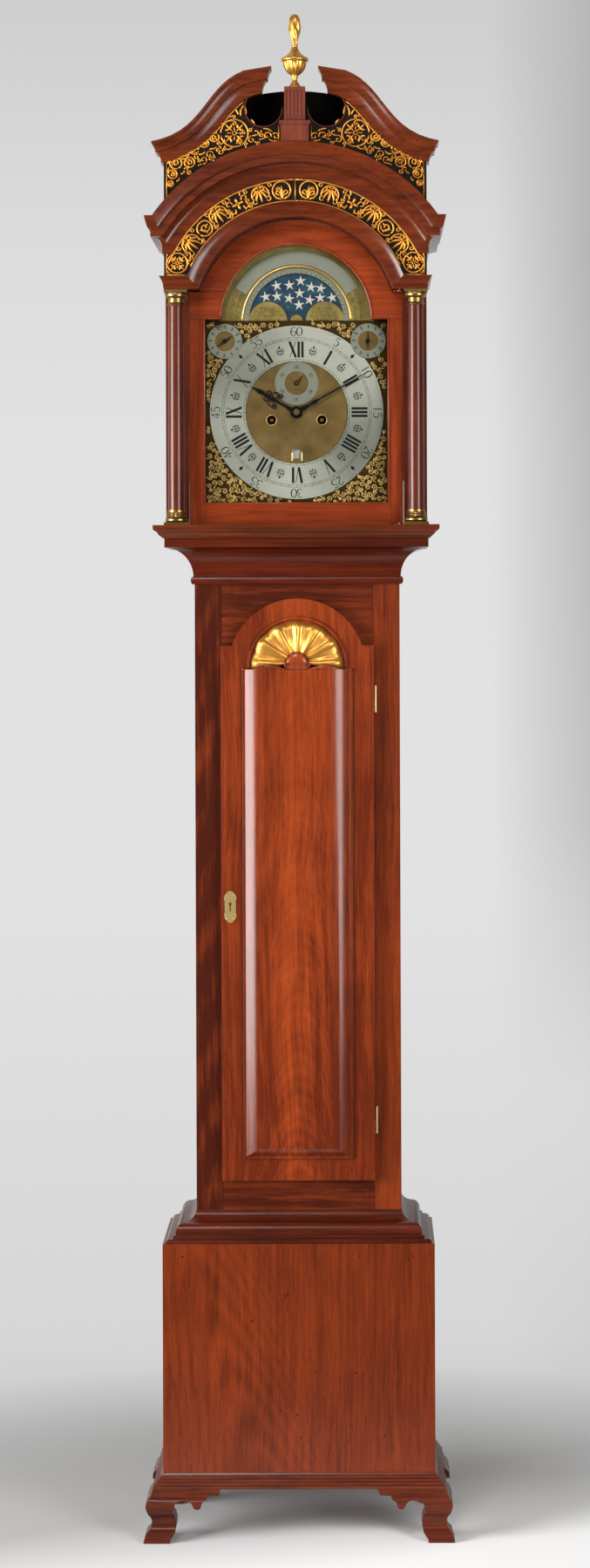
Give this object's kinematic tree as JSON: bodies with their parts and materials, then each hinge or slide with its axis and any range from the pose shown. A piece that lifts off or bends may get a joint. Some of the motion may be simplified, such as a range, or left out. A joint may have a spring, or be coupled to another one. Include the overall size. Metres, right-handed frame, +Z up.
{
  "type": "longcase clock",
  "caption": "Longcase clock with an arched hood, swan-neck pediment, gilt frets, blocked trunk door with a gilt shell, moon dial and a weight-driven movement.",
  "frame": {"origin": "On the floor, under the middle of the width and depth of the clock", "axes": "+Z up, the dial faces -Y, +X to the right as seen from the front; the flat back is towards +Y"},
  "size_m": [0.504, 0.2805, 2.481],
  "materials": {
    "mahogany": "red-brown mahogany with a polished shellac surface",
    "dark_mahogany": "darker mahogany mouldings and boards, polished",
    "pine": "plain sawn pine, unpolished",
    "brass": "polished and lacquered brass",
    "gilt": "carved or pierced work covered in gold leaf",
    "silvered": "silvered brass with wax-filled engraving",
    "blued_steel": "polished and heat-blued steel",
    "glass": "clear flat window glass",
    "painted_disc": "oil-painted iron disc",
    "gut": "twisted gut line"
  },
  "bodies": {
    "case": {"bracket_feet": "mahogany", "base_moulding": "mahogany", "base_box": "mahogany", "backboard": "pine", "trunk_base_moulding": "dark_mahogany", "trunk_frame": "mahogany", "trunk_sides": "mahogany", "throat_moulding": "dark_mahogany", "seat_board": "pine", "movement_frame": "brass", "bell": "silvered", "dial_plate": "brass", "chapter_ring": "silvered", "silvered_rings": "silvered", "spandrels": "gilt", "fixed_hinge_leaves": "brass", "going_line": "gut", "strike_line": "gut"},
    "trunk_door": {"trunk_door": "mahogany", "door_shell": "gilt", "escutcheon": "brass", "door_brasses": "brass"},
    "lock_bolt": {"lock_bolt": "brass"},
    "hood": {"hood_base_moulding": "mahogany", "hood_carcase": "mahogany", "hood_columns": "mahogany", "column_brasses": "brass", "lower_arch_moulding": "mahogany", "frieze_board": "dark_mahogany", "gilt_frets": "gilt", "cornice": "mahogany", "swan_necks": "mahogany", "finial_pedestal": "mahogany", "finial": "gilt", "hood_roof": "dark_mahogany"},
    "hood_door": {"hood_door": "mahogany", "hood_door_glass": "glass"},
    "centre_arbor": {"minute_hand": "blued_steel", "centre_wheel": "brass"},
    "hour_hand": {"hour_hand": "blued_steel"},
    "minute_wheel": {"minute_wheel": "brass"},
    "third_wheel": {"third_wheel": "brass"},
    "escape_wheel": {"escape_wheel": "brass", "seconds_hand": "blued_steel"},
    "anchor": {"anchor": "brass"},
    "pendulum": {"pendulum": "brass"},
    "going_great_wheel": {"going_great_wheel": "brass"},
    "going_barrel": {"going_barrel": "brass"},
    "strike_great_wheel": {"strike_great_wheel": "brass"},
    "strike_barrel": {"strike_barrel": "brass"},
    "pin_wheel": {"pin_wheel": "brass"},
    "hammer": {"hammer": "brass"},
    "moon_disc": {"moon_disc": "painted_disc"},
    "date_ring": {"date_ring": "silvered"},
    "corner_hand_left": {"corner_hand_left": "blued_steel"},
    "corner_hand_right": {"corner_hand_right": "blued_steel"},
    "going_weight": {"going_weight": "brass"},
    "strike_weight": {"strike_weight": "brass"},
    "going_pulley": {"going_pulley": "brass"},
    "strike_pulley": {"strike_pulley": "brass"}
  },
  "joints": [
    {"name": "trunk_door_swing", "type": "hinge", "parent": "case", "child": "trunk_door", "pos_m": [0.1279, -0.0623, 1.024], "axis": [0, 0, 1], "range_deg": [0, 105]},
    {"name": "lock_bolt_throw", "type": "slide", "parent": "trunk_door", "child": "lock_bolt", "axis": [-1, 0, 0], "range_m": [0, 0.008]},
    {"name": "hood_slide", "type": "slide", "parent": "case", "child": "hood", "axis": [0, -1, 0], "range_m": [0, 0.28]},
    {"name": "hood_door_swing", "type": "hinge", "parent": "hood", "child": "hood_door", "pos_m": [0.1705, -0.084, 1.842], "axis": [0, 0, 1], "range_deg": [0, 100]},
    {"name": "minute_hand_turn", "type": "hinge", "parent": "case", "child": "centre_arbor", "pos_m": [0, 0.02, 1.837], "axis": [0, 1, 0], "continuous": true},
    {"name": "hour_hand_turn", "type": "hinge", "parent": "case", "child": "hour_hand", "pos_m": [0, -0.03, 1.837], "axis": [0, 1, 0], "continuous": true},
    {"name": "minute_wheel_turn", "type": "hinge", "parent": "case", "child": "minute_wheel", "pos_m": [0, -0.012, 1.805], "axis": [0, 1, 0], "continuous": true},
    {"name": "third_wheel_turn", "type": "hinge", "parent": "case", "child": "third_wheel", "pos_m": [0.00833, 0.02, 1.86289], "axis": [0, 1, 0], "continuous": true},
    {"name": "escape_wheel_turn", "type": "hinge", "parent": "case", "child": "escape_wheel", "pos_m": [0, 0.02, 1.885], "axis": [0, 1, 0], "continuous": true},
    {"name": "going_great_wheel_turn", "type": "hinge", "parent": "case", "child": "going_great_wheel", "pos_m": [0.0414, 0, 1.8244], "axis": [0, 1, 0], "continuous": true},
    {"name": "strike_great_wheel_turn", "type": "hinge", "parent": "case", "child": "strike_great_wheel", "pos_m": [-0.0414, 0, 1.8244], "axis": [0, 1, 0], "continuous": true},
    {"name": "pin_wheel_turn", "type": "hinge", "parent": "case", "child": "pin_wheel", "pos_m": [-0.04536, 0.02, 1.86206], "axis": [0, 1, 0], "continuous": true},
    {"name": "pendulum_swing", "type": "hinge", "parent": "case", "child": "pendulum", "pos_m": [0, 0.075, 1.915], "axis": [0, 1, 0], "range_deg": [-2.5, 2.5]},
    {"name": "anchor_rock", "type": "hinge", "parent": "case", "child": "anchor", "pos_m": [0, 0.02, 1.915], "axis": [0, 1, 0], "range_deg": [-2.5, 2.5]},
    {"name": "going_weight_drop", "type": "slide", "parent": "case", "child": "going_weight", "axis": [0, 0, 1], "range_m": [0, 1.19], "deforming": ["going_line"]},
    {"name": "going_barrel_wind", "type": "hinge", "parent": "case", "child": "going_barrel", "pos_m": [0.0414, 0.02, 1.8244], "axis": [0, 1, 0], "range_deg": [0, 5266]},
    {"name": "going_pulley_turn", "type": "hinge", "parent": "going_weight", "child": "going_pulley", "pos_m": [0.0444, 0.018, 0.425], "axis": [0, 1, 0], "range_deg": [0, 2978.4]},
    {"name": "strike_weight_drop", "type": "slide", "parent": "case", "child": "strike_weight", "axis": [0, 0, 1], "range_m": [0, 1.19], "deforming": ["strike_line"]},
    {"name": "strike_barrel_wind", "type": "hinge", "parent": "case", "child": "strike_barrel", "pos_m": [-0.0414, 0.02, 1.8244], "axis": [0, 1, 0], "range_deg": [-5266, 0]},
    {"name": "strike_pulley_turn", "type": "hinge", "parent": "strike_weight", "child": "strike_pulley", "pos_m": [-0.0444, 0.018, 0.425], "axis": [0, 1, 0], "range_deg": [-2978.4, 0]},
    {"name": "hammer_strike", "type": "hinge", "parent": "case", "child": "hammer", "pos_m": [-0.07, 0.01, 1.913], "axis": [0, 1, 0], "range_deg": [-8, 0]},
    {"name": "moon_disc_turn", "type": "hinge", "parent": "case", "child": "moon_disc", "pos_m": [0, -0.034, 1.988], "axis": [0, 1, 0], "continuous": true},
    {"name": "date_ring_turn", "type": "hinge", "parent": "case", "child": "date_ring", "pos_m": [0, -0.032, 1.837], "axis": [0, 1, 0], "continuous": true},
    {"name": "left_corner_hand_turn", "type": "hinge", "parent": "case", "child": "corner_hand_left", "pos_m": [-0.118, -0.04, 1.9545], "axis": [0, 1, 0], "continuous": true},
    {"name": "right_corner_hand_turn", "type": "hinge", "parent": "case", "child": "corner_hand_right", "pos_m": [0.118, -0.04, 1.9545], "axis": [0, 1, 0], "continuous": true}
  ],
  "couplings": [
    {"joint": "hour_hand_turn", "follows": "minute_hand_turn", "ratio": 0.083333},
    {"joint": "minute_wheel_turn", "follows": "minute_hand_turn", "ratio": -1},
    {"joint": "third_wheel_turn", "follows": "minute_hand_turn", "ratio": -7.5},
    {"joint": "escape_wheel_turn", "follows": "minute_hand_turn", "ratio": 60},
    {"joint": "going_great_wheel_turn", "follows": "minute_hand_turn", "ratio": -0.083333},
    {"joint": "pin_wheel_turn", "follows": "strike_great_wheel_turn", "ratio": -12},
    {"joint": "anchor_rock", "follows": "pendulum_swing", "ratio": 1},
    {"joint": "going_barrel_wind", "follows": "going_weight_drop", "rad_per_m": 77.22},
    {"joint": "going_pulley_turn", "follows": "going_weight_drop", "rad_per_m": 43.668},
    {"joint": "strike_barrel_wind", "follows": "strike_weight_drop", "rad_per_m": -77.22},
    {"joint": "strike_pulley_turn", "follows": "strike_weight_drop", "rad_per_m": -43.668}
  ]
}
